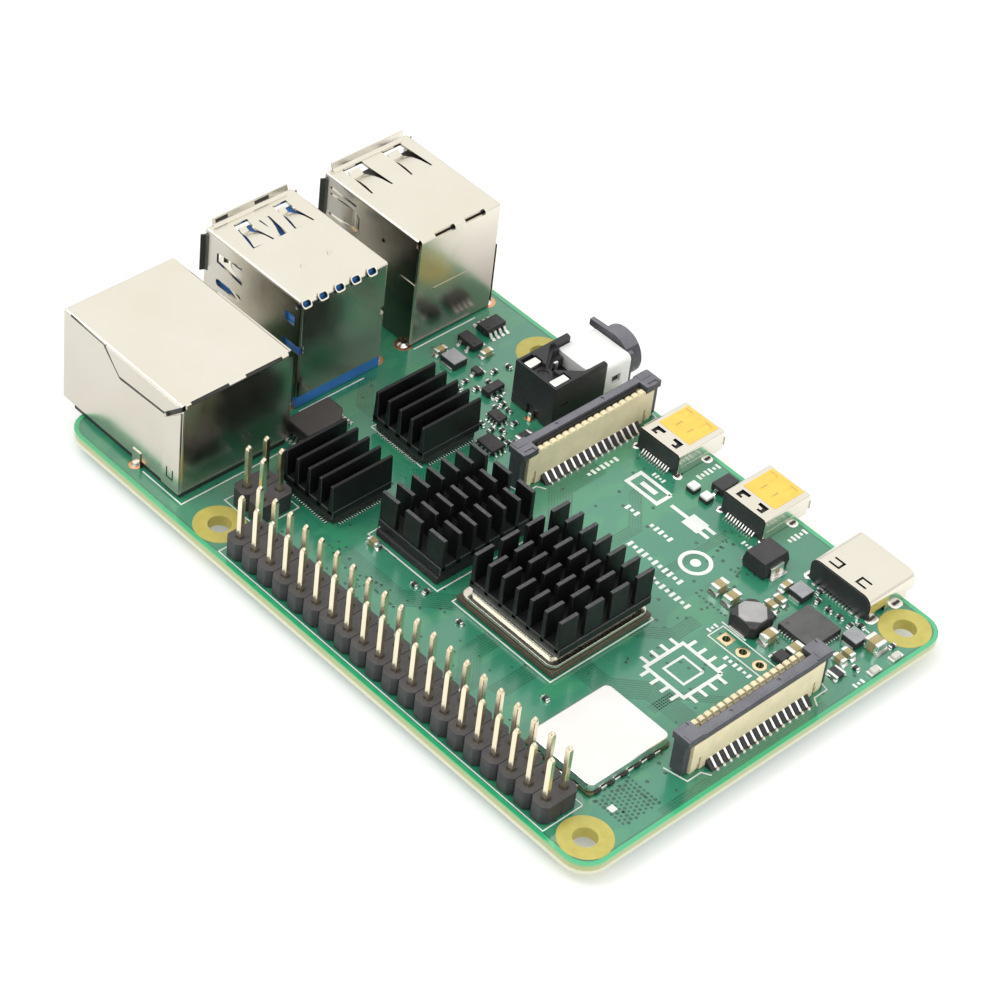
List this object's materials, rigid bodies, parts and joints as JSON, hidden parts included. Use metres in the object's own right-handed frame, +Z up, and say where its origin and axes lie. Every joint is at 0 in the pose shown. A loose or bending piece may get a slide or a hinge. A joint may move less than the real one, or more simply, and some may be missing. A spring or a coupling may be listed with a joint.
{
  "type": "single board computer",
  "caption": "Credit-card-sized computer board with network, USB, video, power and audio ports, pin header, flat-cable connectors with lifting latches, and finned heat sinks.",
  "frame": {"origin": "on the board's underside, at the centre of the four mounting holes", "axes": "+X along the board towards the network and USB sockets, +Y towards the long pin header, +Z up out of the component side"},
  "size_m": [0.0883, 0.0585, 0.0196],
  "materials": {
    "solder_mask": "satin green solder mask over copper",
    "header_plastic": "matt moulded",
    "nickel": "bright nickel plate",
    "gold": "thin gold plate",
    "black_plastic": "satin moulded",
    "blue_plastic": "satin moulded",
    "cream_plastic": "satin moulded",
    "latch_plastic": "matt moulded with glass fibre",
    "white_plastic": "gloss moulded",
    "black_anodised": "black anodised, satin",
    "package_green": "resin substrate",
    "chip_black": "matt moulded resin",
    "grey_ferrite": "ground ferrite",
    "thermal_pad": "soft silicone",
    "clear_light": "clear moulded"
  },
  "bodies": {
    "board": {"audio_contact_left": "nickel", "audio_contact_right": "nickel", "audio_driver_chip": "chip_black", "audio_filter_chip": "chip_black", "audio_jack_collar": "latch_plastic", "audio_jack_housing": "black_plastic", "audio_jack_sleeve": "white_plastic", "camera_connector_housing": "cream_plastic", "camera_switch_chip": "chip_black", "card_socket_base": "black_plastic", "card_socket_cover": "nickel", "circuit_board": "solder_mask", "core_inductor": "grey_ferrite", "display_connector_housing": "cream_plastic", "ethernet_contacts": "gold", "ethernet_controller_chip": "chip_black", "ethernet_controller_heat_sink": "black_anodised", "ethernet_controller_thermal_pad": "thermal_pad", "ethernet_insert": "black_plastic", "ethernet_light_left": "clear_light", "ethernet_light_right": "clear_light", "ethernet_shell": "nickel", "gpio_header": "header_plastic", "input_protection_diode": "chip_black", "memory_chip": "chip_black", "memory_heat_sink": "black_anodised", "memory_thermal_pad": "thermal_pad", "poe_header": "header_plastic", "port_inductor": "grey_ferrite", "port_power_chip": "chip_black", "port_switch_chip": "chip_black", "port_voltage_chip": "chip_black", "power_inductor": "grey_ferrite", "power_management_chip": "chip_black", "processor_heat_sink": "black_anodised", "processor_lid": "nickel", "processor_substrate": "package_green", "processor_thermal_pad": "thermal_pad", "status_light_activity": "clear_light", "status_light_power": "clear_light", "supply_inductor": "grey_ferrite", "usb2_insert": "black_plastic", "usb2_shell": "nickel", "usb3_insert": "blue_plastic", "usb3_shell": "nickel", "usb_c_insert": "black_plastic", "usb_c_shell": "nickel", "usb_controller_chip": "chip_black", "usb_controller_heat_sink": "black_anodised", "usb_controller_thermal_pad": "thermal_pad", "video_port_0_insert": "black_plastic", "video_port_0_shell": "nickel", "video_port_1_insert": "black_plastic", "video_port_1_shell": "nickel", "wireless_module_base": "package_green", "wireless_shield_can": "nickel"},
    "camera_latch": {"camera_connector_latch": "latch_plastic"},
    "display_latch": {"display_connector_latch": "latch_plastic"}
  },
  "joints": [
    {"name": "camera_latch_lift", "type": "slide", "parent": "board", "child": "camera_latch", "axis": [0, 0, 1], "range_m": [0, 0.0012]},
    {"name": "display_latch_lift", "type": "slide", "parent": "board", "child": "display_latch", "axis": [0, 0, 1], "range_m": [0, 0.0012]}
  ]
}
